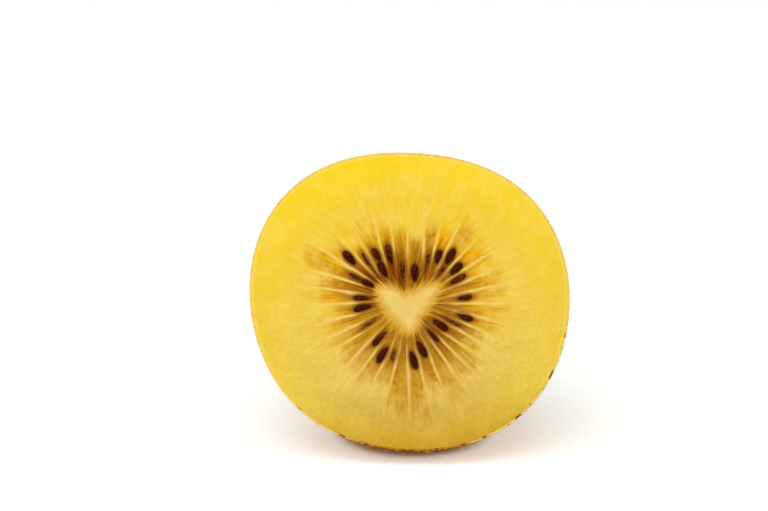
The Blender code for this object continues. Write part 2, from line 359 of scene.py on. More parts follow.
def facePattern(points):
    # What each place on the face has of a pale ray and of an amber chamber, and where it is among them.
    across, up = points[..., 0], points[..., 2]
    centreX, centreZ = face["rayCentre"]
    startRadius = face["rayBearingRadius"]
    radius = np.hypot(across - centreX, up - centreZ)
    bearing = np.degrees(np.arctan2(up - centreZ, across - centreX)) % 360
    offsets, alongs = [], []
    for rayBearing, turn in [row[:2] for row in face["rays"]]:
        place = math.radians(rayBearing)
        heading = math.radians(rayBearing + turn)
        moveX = across - (centreX + startRadius * math.cos(place))
        moveZ = up - (centreZ + startRadius * math.sin(place))
        offsets.append(moveZ * math.cos(heading) - moveX * math.sin(heading))     # left is positive
        alongs.append(moveX * math.cos(heading) + moveZ * math.sin(heading))
    ahead = np.array(alongs) > -startRadius * 1.05
    count = len(face["rays"])
    lengths = np.random.default_rng(5).uniform(0.85, 1.2, count)
    phases = np.random.default_rng(8).uniform(0, math.tau, (4, count))
    ray = np.zeros_like(radius)
    chamber = np.zeros_like(radius)
    middle = np.zeros_like(radius)
    reachHere = np.full_like(radius, 14.0)
    for index in range(count):
        reach, strength = face["rays"][index][2:]
        # the ray wanders a little, and gets wider and then fainter on its way out
        wander = 0.09 * np.sin(radius * 0.9 + phases[0, index])
        wander = wander + 0.05 * np.sin(radius * 2.3 + phases[1, index])
        width = (0.12 + 0.015 * radius) * (1 + 0.35 * np.sin(radius * 0.7 + phases[2, index]))
        far = 1 - smooth(9.5 * lengths[index], 17.5 * lengths[index], radius)
        far = far * (0.3 + 0.55 * smooth(5.0, 9.5, radius))
        far = far * (1 + 0.2 * np.sin(radius * 1.7 + phases[3, index]))
        aside = (offsets[index] + wander * smooth(5, 9, radius)) / width
        line = (np.exp(-aside ** 2) + 0.12 * np.exp(-(aside / 2.4) ** 2)) / 1.12
        ray = np.maximum(ray, np.clip(line * far * strength, 0, 1) * ahead[index])

        # the chamber lies between this ray and the next
        following = (index + 1) % count
        left, right = offsets[index], -offsets[following]
        inside = (left > 0) & (right > 0) & ahead[index] & ahead[following]
        nearest = np.minimum(left, right)
        depthHere = smooth(0.02, 0.35, nearest) * (1 - smooth(reach * 0.95, reach * 1.3, radius))
        chamber = np.where(inside, np.maximum(chamber, depthHere), chamber)
        share = nearest / np.maximum(left + right, 0.01) * 2
        middle = np.where(inside, np.maximum(middle, share), middle)
        reachHere = np.where(inside, reach, reachHere)
    chamber = np.maximum(chamber, 0.9 * (1 - smooth(6, 10.5, radius)))
    return {"radius": radius, "bearing": bearing, "ray": ray, "chamber": chamber, "middle": middle,
            "reach": reachHere}


seeds = {
    # across and up, bearing of the long axis away from the core, length, width, and how far the flesh veils
    # the seed at its narrow and at its wide end, from 0 to 1
    "places": (
        (-9.8, 6.7, 132, 2.9, 1.5, 0, 0), (-7.0, 6.5, 124, 2.8, 1.0, 0.75, 0.75),
        (-5.4, 7.3, 126, 2.4, 1.25, 0.2, 0.45), (-4.3, 4.9, 120, 2.8, 1.4, 0, 0.1),
        (-3.3, 7.3, 106, 3.4, 1.35, 0.1, 0.65), (-1.1, 4.6, 94, 3.4, 1.2, 0.6, 0.8),
        (0.8, 4.4, 92, 2.8, 1.4, 0, 0), (2.8, 6.0, 78, 3.0, 1.2, 0.85, 0.75),
        (4.6, 7.0, 76, 2.4, 1.3, 0.15, 0.25), (6.5, 7.1, 63, 2.9, 1.4, 0, 0.05),
        (7.5, 5.1, 47, 2.6, 1.4, 0, 0), (5.2, 4.7, 51, 1.9, 0.9, 0.75, 0.7),
        (7.8, 3.4, 31, 2.85, 1.3, 0.2, 0.55), (8.9, 0.5, 8, 2.4, 1.2, 0.3, 0.5),
        (9.0, -2.6, 340, 2.75, 1.3, 0.35, 0.15), (5.0, -4.0, 323, 2.9, 1.4, 0, 0.2),
        (7.0, -3.4, 334, 3.0, 1.1, 0.7, 0.65), (3.9, -5.6, 311, 2.7, 0.9, 0, 0.2),
        (2.1, -7.9, 304, 3.0, 1.4, 0, 0), (0.8, -9.7, 290, 3.05, 1.4, 0.05, 0.1),
        (-2.4, -9.0, 251, 2.0, 1.0, 0.8, 0.7), (-4.2, -8.9, 236, 3.1, 1.45, 0.15, 0.05),
        (-4.7, -6.3, 226, 3.2, 1.25, 0.5, 0.1), (-6.5, -4.0, 216, 3.1, 0.8, 0.85, 0.85),
        (-7.6, -1.4, 195, 2.9, 1.35, 0, 0.2), (-7.8, 0.2, 181, 2.5, 1.1, 0.35, 0.35),
        (-6.7, 2.5, 150, 2.3, 1.25, 0, 0.15), (-8.7, 3.6, 150, 3.0, 1.0, 0.6, 0.85)),
    "thickness": 1.1,
    "taper": 0.35,
    "sink": 0.28,                # how far the middle of a seed is below the cut
}


def seedDistance(points):
    # How far each place on the face is outside the nearest seed, in seed radii, and how veiled that seed is.
    nearest = np.full(points.shape[:-1], 9.0)
    veil = np.zeros(points.shape[:-1])
    for across, up, bearing, length, width, veilNear, veilFar in seeds["places"]:
        angle = math.radians(bearing)
        moveX, moveZ = points[..., 0] - across, points[..., 2] - up
        along = (moveX * math.cos(angle) + moveZ * math.sin(angle)) / (length / 2)
        side = (moveZ * math.cos(angle) - moveX * math.sin(angle)) / (width / 2)
        distance = np.hypot(along, side)
        veil = np.where(distance < nearest, (veilNear + veilFar) / 2, veil)
        nearest = np.minimum(nearest, distance)
    return nearest, veil


def faceRelief(points, rimDistance):     # how far the face stands out from the plane of the cut, in mm
    pattern = facePattern(points)
    nearest, veil = seedDistance(points)
    coreGap = smooth(0, 1.2, coreDistance(points))
    sink = face["chamberSink"] * pattern["chamber"] * smooth(0, 0.9, pattern["middle"])
    height = face["rayRise"] * pattern["ray"] * coreGap
    height = height - sink * coreGap * (1 - smooth(9, 16, pattern["radius"]))
    height = height + 0.05 * noiseOver(points, 0.35, 11) + 0.02 * noiseOver(points, 1.3, 4)
    height = height - 0.1 * np.exp(-((nearest - 1.1) / 0.25) ** 2) * (1 - veil) * coreGap
    sag = np.clip(1 - rimDistance / face["rimRound"], 0, 1)
    return height * smooth(0, 1.5, rimDistance) - face["rimRound"] * 0.6 * (1 - np.sqrt(1 - sag ** 2))


def buildFlesh():
    angles = columnAngles(face["columns"])
    mouth = corePoints(angles, 1, 0)
    rim = aroundAxis(angles, outlineRadius(angles) - face["skinEdge"], 0 * angles)
    plain = np.linspace(0, 1, face["faceRings"])
    steps = np.sort(np.concatenate([plain, [0.975, 0.981, 0.9895, 0.9925, 0.9952, 0.9975, 0.999]]))
    faceGrid = mouth + (rim - mouth) * steps[:, None, None]
    rimDistance = np.hypot(*(rim - mouth)[:, [0, 2]].T) * (1 - steps[:, None])
    faceGrid[..., 1] = -faceRelief(faceGrid, rimDistance)
    faceGrid[0, :, 1] = 0
    pocketGrid = np.array([corePoints(angles, math.cos(tilt), face["coreDepth"] * math.sin(tilt))
                           for tilt in np.linspace(math.pi / 2, 0.012, 12)])
    pocketGrid[0] = pocketGrid[0].mean(axis=0)
    turns = np.concatenate([[0.015, 0.04, 0.09], np.linspace(0.16, math.pi / 2, 15)])
    sideGrid = np.array([sidePoints(angles, turn, face["skinEdge"] + face["sideGap"]) for turn in turns])
    sideGrid[-1] = sideGrid[-1].mean(axis=0)
    grid = np.concatenate([pocketGrid, faceGrid, sideGrid])
    piece, ring, column = shapeBlank("fleshBody", pressed(toWorld(grid), 0.5))

    pattern = facePattern(grid)
    nearest, veil = seedDistance(grid)
    across, up = grid[..., 0], grid[..., 2]
    stain = np.exp(-(np.maximum(nearest - 0.95, 0) / (0.28 + 0.45 * veil)) ** 2) * (1 - 0.3 * veil)
    values = {
        "ray": pattern["ray"],
        "chamber": pattern["chamber"],
        "radius": pattern["radius"],
        "reach": pattern["reach"],
        "high": up,
        "right": across,
        "deep": np.interp(pattern["bearing"], *np.array(face["deepAmber"], dtype=float).T),
        "stain": stain,
        "coreOut": coreDistance(grid),
        "rim": outlineRadius(np.arctan2(up, across)) - np.hypot(across, up),
        "streak": streaksFrom(grid, face["rayCentre"]),
    }
    for name, value in values.items():
        addAttribute(piece, name, value[ring, column])
    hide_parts("flesh")
    finishPiece(piece, fleshMaterial())


fleshLook = {
    # place up the cut from 0 to 1, and the colour there, near the rim and further in; darker and duller
    # towards the bottom, partly the flesh's own tone and partly painted shade
    "outer": ((0.02, colour(182, 138, 30)), (0.1, colour(194, 155, 46)), (0.2, colour(211, 180, 66)),
              (0.5, colour(218, 184, 52)), (0.83, colour(226, 193, 35)), (0.98, colour(229, 196, 28))),
    "inner": ((0.15, colour(194, 158, 62)), (0.26, colour(208, 176, 78)), (0.5, colour(217, 184, 66)),
              (0.74, colour(219, 185, 50)), (0.85, colour(223, 188, 47))),
    # the same for the pale rays, and for their ends at the core; the rays too are darker low down, partly
    # painted shade
    "ray": ((0.3, colour(214, 172, 92)), (0.5, colour(227, 190, 112)), (0.68, colour(224, 182, 90))),
    "rayNear": ((0.42, colour(214, 162, 88)), (0.6, colour(196, 132, 42))),
    "streak": colour(226, 190, 108),
    "cloud": colour(230, 200, 102),
    "rim": colour(236, 202, 92),
    "amber": colour(218, 157, 0),
    # the amber lower down the cut is darker: painted shade
    "amberShadedLow": colour(180, 132, 4),
    "amberDark": colour(176, 106, 0),
    "amberDeep": colour(112, 46, 0),
    "stain": colour(66, 22, 0),
    "halo": colour(120, 60, 6),  # round the seeds
    "coreEdge": colour(212, 162, 52),
    "shine": colour(255, 215, 120),
    # radii in mm between which a part of the pattern comes in
    "outerFrom": (18, 23),
    "streakFrom": (20, 14),
    "deepFrom": (13.5, 6.5),
    "lineFrom": (11.5, 7.5),
    "rayFrom": (5.5, 10),
    "coreFray": 3.4,             # how far the core's border is frayed, in mm
    "grainScale": 1600,
    "cloudScale": 360,
    "roughness": 0.4,
    "bump": 0.05,                # depth in mm of the fine wet grain
}


def coreBorder(tree, streak, fray):      # distance outwards from the core, frayed along the streaks
    return plus(tree, readAttribute(tree, "coreOut"), swing(tree, noiseOf(tree, streak, 20, 3, 0.6), fray))


def fleshMaterial():
    look = fleshLook
    material, tree, shader, place = startMaterial(
        "moistYellowFlesh", Specular_IOR_Level=0.15, Specular_Tint=look["shine"], Subsurface_Weight=0.12,
        Subsurface_Scale=0.001, Subsurface_Radius=(1.0, 0.6, 0.2), IOR=1.38)
    streak = readAttribute(tree, "streak", "Vector")
    radius = readAttribute(tree, "radius")
    # height up the cut, tilted a little: the tones read along it are darker lower down and to the right,
    # painted shade as if lit from the upper left
    high = plus(tree, readAttribute(tree, "high"), times(tree, readAttribute(tree, "right"), -0.1))
    high = spread(tree, high, -26, 26, kind='LINEAR')
    fine = noiseOf(tree, streak, 36, 2, 0.5)
    coarse = noiseOf(tree, streak, 13, 2, 0.5)
    grain = noiseOf(tree, place, look["grainScale"], 3, 0.6)
    cloud = noiseOf(tree, place, look["cloudScale"], 3, 0.5)

    # plain flesh, with pale streaks and clouds in it and a pale rim; the clouds and the pale rim fade lower
    # down, part of the painted shade towards the bottom
    tone = mixOf(tree, spread(tree, radius, *look["outerFrom"]), rampOf(tree, high, look["inner"]),
                 rampOf(tree, high, look["outer"]))
    share = times(tree, spread(tree, coarse, 0.5, 0.72), spread(tree, radius, *look["streakFrom"]))
    tone = mixOf(tree, times(tree, share, 0.35), tone, look["streak"])
    share = times(tree, spread(tree, cloud, 0.35, 0.75, 0, 0.3), spread(tree, high, 0, 0.4, 0.4, 1))
    tone = mixOf(tree, share, tone, look["cloud"])
    rim = spread(tree, readAttribute(tree, "rim"), 1.0, 0.3, 0, 0.7)
    share = times(tree, rim, spread(tree, high, 0.12, 0.4))
    tone = mixOf(tree, share, tone, look["rim"])

    # amber chambers between the rays, deeper and browner towards the core
    chamber = readAttribute(tree, "chamber")
    feather = mathOf(tree, 'DIVIDE', radius, readAttribute(tree, "reach"))
    feather = plus(tree, plus(tree, feather, swing(tree, fine, 0.3)), swing(tree, cloud, 0.8))
    share = times(tree, chamber, spread(tree, feather, 1.25, 0.7))
    share = times(tree, share, spread(tree, grain, 0.4, 0.6, 0.72, 1.08))
    # the amber below the middle takes the darker amber: painted shade
    amber = mixOf(tree, spread(tree, high, 0.5, 0.3), look["amber"], look["amberShadedLow"])
    amber = mixOf(tree, spread(tree, coarse, 0.38, 0.62, 0, 0.8), amber, look["amberDark"])
    tone = mixOf(tree, share, tone, amber)
    share = times(tree, chamber, spread(tree, radius, *look["deepFrom"]))
    share = times(tree, share, readAttribute(tree, "deep"))
    share = times(tree, share, spread(tree, coarse, 0.3, 0.6, 0.75, 1.15))
    tone = mixOf(tree, share, tone, look["amberDeep"])
    share = times(tree, spread(tree, fine, 0.5, 0.66), spread(tree, radius, *look["lineFrom"]))
    tone = mixOf(tree, times(tree, share, times(tree, chamber, 0.45)), tone, look["stain"])

    # pale rays, and the brown that the seeds leave round them
    share = times(tree, readAttribute(tree, "ray"), spread(tree, cloud, 0.25, 0.6, 0.65, 1.0))
    ray = mixOf(tree, spread(tree, radius, *look["rayFrom"]), rampOf(tree, high, look["rayNear"]),
                rampOf(tree, high, look["ray"]))
    tone = mixOf(tree, share, tone, ray)
    tone = mixOf(tree, times(tree, readAttribute(tree, "stain"), 0.8), tone, look["halo"])
    border = coreBorder(tree, streak, look["coreFray"])
    tone = mixOf(tree, spread(tree, border, 1.0, -0.25), tone, look["coreEdge"])

    # a light and dark grain over all of it
    dots = times(tree, spread(tree, grain, 0.25, 0.75, -0.08, 0.08, kind='LINEAR'),
                 spread(tree, high, 0.7, 0.3, 0.4, 1.0))
    lines = times(tree, spread(tree, fine, 0.3, 0.7, -0.05, 0.05, kind='LINEAR'),
                  spread(tree, radius, 24, 15, 0.3, 1.0))
    tone = mixOf(tree, 1.0, tone, plus(tree, plus(tree, dots, 0.995), lines), blend='MULTIPLY')
    height = plus(tree, times(tree, fine, 0.7), times(tree, grain, 0.7))
    connect(tree, shader, Base_Color=tone, Normal=bumpOf(tree, height, look["bump"]),
            Roughness=plus(tree, look["roughness"], times(tree, grain, 0.22)))
    return material


core = {
    "columns": 360,
    "faceRings": 26,
    "gap": 0.008,                # between the core and its pocket, as a share of its radius
    "cream": colour(213, 178, 88),
    "pale": colour(220, 187, 104),
    "border": colour(200, 150, 48),
    "grain": colour(231, 220, 163),
    "shine": colour(255, 230, 170),
    "fray": 1.8,
    "roughness": 0.4,
    "bump": 0.05,
}


def buildCore():
    angles = columnAngles(core["columns"])
    shares = np.linspace(0, 1, core["faceRings"])
    faceGrid = np.array([corePoints(angles, share, 0) for share in shares])
    crown = face["coreCrown"] * (1 - smooth(0.2, 1, shares[:, None] + 0 * angles))
    dents = 0.03 * noiseOver(faceGrid, 0.9, 3) * (1 - smooth(0.7, 1, shares[:, None]))
    faceGrid[..., 1] = -(crown + dents)
    faceGrid[0] = faceGrid[0].mean(axis=0)
    tilts = np.concatenate([[0.01, 0.03, 0.08], np.linspace(0.16, math.pi / 2, 12)])
    sideGrid = np.array([corePoints(angles, math.cos(tilt) - core["gap"],
                                    face["coreDepth"] * math.sin(tilt) * 0.995) for tilt in tilts])
    sideGrid[-1] = sideGrid[-1].mean(axis=0)
    grid = np.concatenate([faceGrid, sideGrid])
    piece, ring, column = shapeBlank("coreHeart", toWorld(grid))
    addAttribute(piece, "coreOut", coreDistance(grid)[ring, column])
    addAttribute(piece, "streak", streaksFrom(grid, face["coreCentre"])[ring, column])
    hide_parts("core")
    finishPiece(piece, coreMaterial())


def coreMaterial():
    material, tree, shader, place = startMaterial(
        "creamCore", Specular_IOR_Level=0.15, Specular_Tint=core["shine"], Subsurface_Weight=0.12,
        Subsurface_Scale=0.001, Subsurface_Radius=(1.0, 0.6, 0.25), IOR=1.38)
    cloud = noiseOf(tree, place, 420, 4, 0.6)
    grain = noiseOf(tree, place, 2200, 3, 0.6)
    border = coreBorder(tree, readAttribute(tree, "streak", "Vector"), core["fray"])
    tone = mixOf(tree, spread(tree, cloud, 0.3, 0.7), core["cream"], core["pale"])
    tone = mixOf(tree, spread(tree, border, -1.5, 0.2), tone, core["border"])
    tone = mixOf(tree, spread(tree, grain, 0.35, 0.8, 0.0, 0.15), tone, core["grain"])
    connect(tree, shader, Base_Color=tone, Normal=bumpOf(tree, grain, core["bump"]),
            Roughness=plus(tree, core["roughness"], times(tree, grain, 0.2)))
    return material


def buildSeeds():
    # One seed is made along Z, narrow end down, and every copy is then sized, turned and set in its place.
    bpy.ops.object.select_all(action='DESELECT')
    bpy.ops.mesh.primitive_uv_sphere_add(segments=28, ring_count=18, radius=1)
    master = startPiece("seed")
    bpy.ops.object.shade_smooth()
    coords = np.zeros(len(master.data.vertices) * 3)
    master.data.vertices.foreach_get("co", coords)
    coords = coords.reshape(-1, 3)
    along = coords[:, 2]
    slim = 1 - seeds["taper"] * (1 - along) / 2 * smooth(-1.2, 1, -along)
    made = []
    for index, (across, up, bearing, length, width, veilNear, veilFar) in enumerate(seeds["places"]):
        if index > 0:
            selectOnly(master)
            bpy.ops.object.duplicate(linked=False)
        piece = startPiece("seed%02d" % (index + 1))
        veil = veilNear + (veilFar - veilNear) * (along + 1) / 2
        thickness = seeds["thickness"] * min(1, width / 1.3) * (1 - 0.35 * veil.mean())
        lump = 0.96 + 0.08 * noiseOver(coords * 1.5, 1.0, index * 3.1)
        angle = math.radians(bearing)
        side = coords[:, 0] * slim * lump * width / 2
        high = coords[:, 1] * slim * lump * thickness / 2
        run = along * length / 2
        depth = seeds["sink"] + 0.16 * veil.mean()
        points = np.stack([across + run * math.cos(angle) - side * math.sin(angle), depth - high,
                           up + run * math.sin(angle) + side * math.cos(angle)], axis=-1)
        piece.data.vertices.foreach_set("co", toWorld(points).ravel())
        addAttribute(piece, "veil", veil)
        addAttribute(piece, "seedPlace", np.stack([side, high, run * 0.3 + index * 7.0], axis=-1))
        addAttribute(piece, "seedSide", np.abs(coords[:, 0]))
        piece.data.update()
        made.append(piece)
    material = seedMaterial()
    for piece in made:
        selectOnly(piece)
        bpy.ops.object.mode_set(mode='EDIT')
        bpy.ops.mesh.select_all(action='SELECT')
        bpy.ops.mesh.normals_make_consistent(inside=False)
        bpy.ops.object.mode_set(mode='OBJECT')
        finishPiece(piece, material)


seedLook = {
    "dark": colour(32, 4, 0),
    "brown": colour(92, 38, 18),
    "veilDark": colour(46, 13, 0),
    "veilPale": colour(148, 92, 24),
    "veilEdge": colour(104, 52, 2),
    "shine": colour(255, 120, 60),
    "roughness": 0.14,
    "bump": 0.1,                 # depth in mm of the pits
}


def seedMaterial():
    look = seedLook
    material, tree, shader, place = startMaterial(
        "glossySeed", Specular_IOR_Level=0.28, Specular_Tint=look["shine"])
    lines = noiseOf(tree, readAttribute(tree, "seedPlace", "Vector"), 4.6, 4, 0.65)
    pits = noiseOf(tree, place, 3400, 3, 0.6)
    tone = mixOf(tree, spread(tree, pits, 0.5, 0.74), look["dark"], look["brown"])

    # a veiled seed shows through the flesh over it as dark and pale lines along it
    veiled = mixOf(tree, spread(tree, lines, 0.48, 0.62), look["veilDark"], look["veilPale"])
    veiled = mixOf(tree, spread(tree, readAttribute(tree, "seedSide"), 0.5, 0.9), veiled, look["veilEdge"])
    veil = readAttribute(tree, "veil")
    tone = mixOf(tree, spread(tree, veil, 0.2, 0.95, kind='LINEAR'), tone, veiled)
    connect(tree, shader, Base_Color=tone, Normal=bumpOf(tree, pits, look["bump"]),
            Roughness=plus(tree, look["roughness"], times(tree, pits, 0.2)))
    return material


skin = {
    "columns": 480,
    "outerRings": 96,
    "wall": 0.3,                 # mm
    "lumps": 0.09,               # how high the outside's soft lumps are, in mm
    # the skin's edge at the cut: share of the wall from inside out, depth from the cut in mm, and how much
    # it has the colour of cut skin
    "edge": ((0.0, 0.14, 1), (0.12, 0.09, 1), (0.45, 0.07, 0.85), (0.8, 0.1, 0.5), (0.96, 0.2, 0.2)),
}


def skinOuter(angles, turns):
    points = sidePoints(angles, turns, 0.0)
    outward = points / np.maximum(np.linalg.norm(points, axis=-1, keepdims=True), 0.1)
    lumps = skin["lumps"] * (noiseOver(points, 0.22, 2) + 0.5 * noiseOver(points, 0.7, 9))
    fade = smooth(0.0, 3.0, points[..., 1])
    return points + outward * (lumps * fade)[..., None]


def buildSkin():
    angles = columnAngles(skin["columns"])
    wall = skin["wall"]
    inner = np.array([sidePoints(angles, turn, wall) for turn in np.linspace(math.pi / 2, 0.012, 22)])
    inner[0] = inner[0].mean(axis=0)
    circle = aroundAxis(angles, 1, 0 * angles)
    low = smooth(-0.86, -0.99, np.sin(angles))
    ragged = (0.05 * noiseOver(circle, 14, 5) + 0.04 * noiseOver(circle, 40, 6)) * (0.6 + 1.6 * low)
    edge = []
    for share, depth in [row[:2] for row in skin["edge"]]:
        radius = outlineRadius(angles) - wall * (1 - share) + ragged * share
        edge.append(aroundAxis(angles, radius, depth + ragged))
    turns = 0.02 + (math.pi / 2 - 0.02) * np.linspace(0, 1, skin["outerRings"]) ** 1.08
    outer = skinOuter(angles[None, :] + 0 * turns[:, None], turns[:, None] + 0 * angles[None, :])
    outer[-1] = outer[-1].mean(axis=0)
    grid = np.concatenate([inner, edge, outer])
    world = toWorld(grid)
    world[:len(inner)] = pressed(world[:len(inner)], wall)
    world[len(inner):] = pressed(world[len(inner):], 0.0)
    piece, ring, column = shapeBlank("skinCup", world)

    cutEdge = np.zeros(len(grid))
    cutEdge[len(inner) - 1] = 1
    cutEdge[len(inner):len(inner) + len(edge)] = [row[2] for row in skin["edge"]]
    torn = smooth(-0.35, -0.6, np.sin(angles - 0.3))
    addAttribute(piece, "cutEdge", cutEdge[ring])
    addAttribute(piece, "low", low[column])
    addAttribute(piece, "torn", torn[column])
    addAttribute(piece, "depth", grid[..., 1][ring, column])
    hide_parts("skin")
    finishPiece(piece, skinMaterial())


skinLook = {
    "tan": colour(190, 104, 34),
    "golden": colour(212, 136, 56),
    "brown": colour(146, 70, 18),
    "speck": colour(240, 192, 130),
    "dot": colour(112, 52, 12),
    "cutPale": colour(236, 202, 94),
    # the cut edge along the bottom, duller: painted shade
    "cutLowShaded": colour(178, 122, 30),
    # dark brown: the torn dashes' own colour, and painted shade along the bottom of the cut
    "cutBrownAndShade": colour(126, 72, 10),
    "cutGold": colour(216, 168, 66),
    "shine": colour(255, 220, 180),
    "sheen": colour(255, 226, 180),
    "speckScale": 1900,
    "roughness": 0.58,
    "bump": 0.16,                # depth in mm of the specks and grain
}


def skinMaterial():
    look = skinLook
    material, tree, shader, place = startMaterial(
        "fuzzySkin", Specular_IOR_Level=0.25, Specular_Tint=look["shine"], Sheen_Weight=0.2,
        Sheen_Roughness=0.4, Sheen_Tint=look["sheen"])
    depth = readAttribute(tree, "depth")
    low = readAttribute(tree, "low")
    patch = noiseOf(tree, place, 50, 2, 0.5)
    mottle = noiseOf(tree, place, 800, 3, 0.6)
    grain = noiseOf(tree, place, 2400, 2, 0.6)
    cells = addNode(tree, 'ShaderNodeTexVoronoi', None, Vector=place, Scale=look["speckScale"])
    specks = spread(tree, plus(tree, cells.outputs["Distance"], times(tree, mottle, 0.7)), 0.98, 0.52)
    specks = times(tree, specks, spread(tree, noiseOf(tree, place, 260, 2, 0.5), 0.36, 0.6, 0.4, 1))
    tone = mixOf(tree, spread(tree, patch, 0.35, 0.65), look["tan"], look["golden"])
    tone = mixOf(tree, spread(tree, mottle, 0.42, 0.7, 0, 0.6), tone, look["brown"])
    tone = mixOf(tree, times(tree, specks, 0.5), tone, look["speck"])
    tone = mixOf(tree, spread(tree, grain, 0.42, 0.28, 0, 0.35), tone, look["dot"])

    # at the cut the skin is golden; along the bottom of the cut it is dark brown and ragged, partly its own
    # torn edge and partly painted shade where the fruit nears the floor
    tone = mixOf(tree, spread(tree, depth, 0.9, 0.3), tone, look["cutGold"])
    tornAndShaded = times(tree, low, spread(tree, depth, 2.5, 0.2))
    tone = mixOf(tree, times(tree, tornAndShaded, spread(tree, mottle, 0.3, 0.55)), tone, look["cutBrownAndShade"])
    tatter = times(tree, low, spread(tree, mottle, 0.4, 0.7, 0, -0.6))
    tatter = plus(tree, readAttribute(tree, "cutEdge"), tatter)
    # the cut edge is duller along the bottom: painted shade
    cut = mixOf(tree, low, look["cutPale"], look["cutLowShaded"])
    tone = mixOf(tree, spread(tree, tatter, 0.45, 0.75), tone, cut)
    dashes = spread(tree, noiseOf(tree, place, 620, 1, 0.5), 0.56, 0.6)
    dashes = times(tree, times(tree, readAttribute(tree, "torn"), dashes), spread(tree, depth, 0.8, 0.5))
    tone = mixOf(tree, dashes, tone, look["cutBrownAndShade"])

    stem = spread(tree, depth, 26, 33.5, 0, 0.5)    # browner towards the stem
    tone = mixOf(tree, times(tree, stem, mottle), tone, look["brown"])
    height = plus(tree, specks, times(tree, grain, 0.6))
    connect(tree, shader, Base_Color=tone, Normal=bumpOf(tree, height, look["bump"]),
            Roughness=plus(tree, look["roughness"], times(tree, grain, 0.25)))
    return material


scar = {
    "columns": 96,
    # how far out and how high over the skin, in mm, from the middle to the rim and back underneath
    "profile": ((0, 0.35), (0.5, 0.36), (1.0, 0.22), (1.35, 0.3), (1.6, 0.62), (1.8, 0.82), (1.95, 0.78),
                (2.1, 0.5), (2.3, 0.12), (2.55, -0.05), (2.5, -0.25), (1.6, -0.3), (0, -0.3)),
    "width": 2.6,                # mm; the tones go from the middle, 0, out to this, 1
    # woody browns, darker in the groove inside the raised rim and at its outer foot as painted shade, and
    # lighter on the rim as a painted highlight
    "woodAndShadeTones": ((0.1, colour(150, 100, 54)), (0.38, colour(96, 56, 26)), (0.52, colour(62, 32, 14)),
              (0.72, colour(176, 124, 72)), (0.95, colour(98, 54, 22))),
    "fibres": colour(56, 28, 12),
    "bump": 0.25,
}


def buildScar():
    angles = columnAngles(scar["columns"])
    radii, rises = np.array(scar["profile"]).T[..., None]
    base = fruit["halfDepth"] - dimpleAt(np.minimum(radii, 2.5))
    flat = np.stack([radii * np.cos(angles), radii * np.sin(angles), 0 * radii * angles], axis=-1)
    rough = 0.5 * noiseOver(flat, 1.1, 3) + 0.5 * noiseOver(flat, 2.6, 8)
    wide = radii * (1 + 0.08 * rough)
    rise = rises + 0.28 * rough * (rises > 0.2)
    grid = aroundAxis(angles, wide, base + rise)
    grid[0] = grid[0].mean(axis=0)
    grid[-1] = grid[-1].mean(axis=0)
    piece, ring, column = shapeBlank("stemScar", toWorld(grid))
    addAttribute(piece, "fromStem", wide[ring, column])
    finishPiece(piece, scarMaterial())


def scarMaterial():
    material, tree, shader, place = startMaterial("woodyScar", Specular_IOR_Level=0.2)
    fibres = noiseOf(tree, place, 1500, 4, 0.7)
    fromStem = spread(tree, readAttribute(tree, "fromStem"), 0, scar["width"], kind='LINEAR')
    tone = mixOf(tree, spread(tree, fibres, 0.55, 0.35, 0, 0.6), rampOf(tree, fromStem, scar["woodAndShadeTones"]),
                 scar["fibres"])
    connect(tree, shader, Base_Color=tone, Normal=bumpOf(tree, fibres, scar["bump"]),
            Roughness=spread(tree, fibres, 0.3, 0.7, 0.9, 0.65))
    return material


fuzz = {
    "count": 10000,
    "length": (0.2, 0.45),       # mm
    "thickness": 0.022,          # radius at the root, mm
    "lean": 0.45,                # how much the hairs differ in direction, and in bend
    "bend": 0.35,
    "rimCount": 1000,            # more of them along the bottom of the cut, longer ones
    "rimLength": (0.25, 0.6),
    "rimThickness": 0.055,
    "rimSpread": 0.5,            # radians to either side of the lowest place
    "scarRadius": 2.6,           # none grow this near the stem's middle, mm
    "tone": colour(236, 202, 150),
    "darkTone": colour(188, 128, 70),
    # brown of the hairs along the bottom of the cut: partly their own colour, partly painted shade
    "rimBrownAndShade": colour(156, 96, 14),
}


def unitRows(rows):
    return rows / np.linalg.norm(rows, axis=1, keepdims=True)


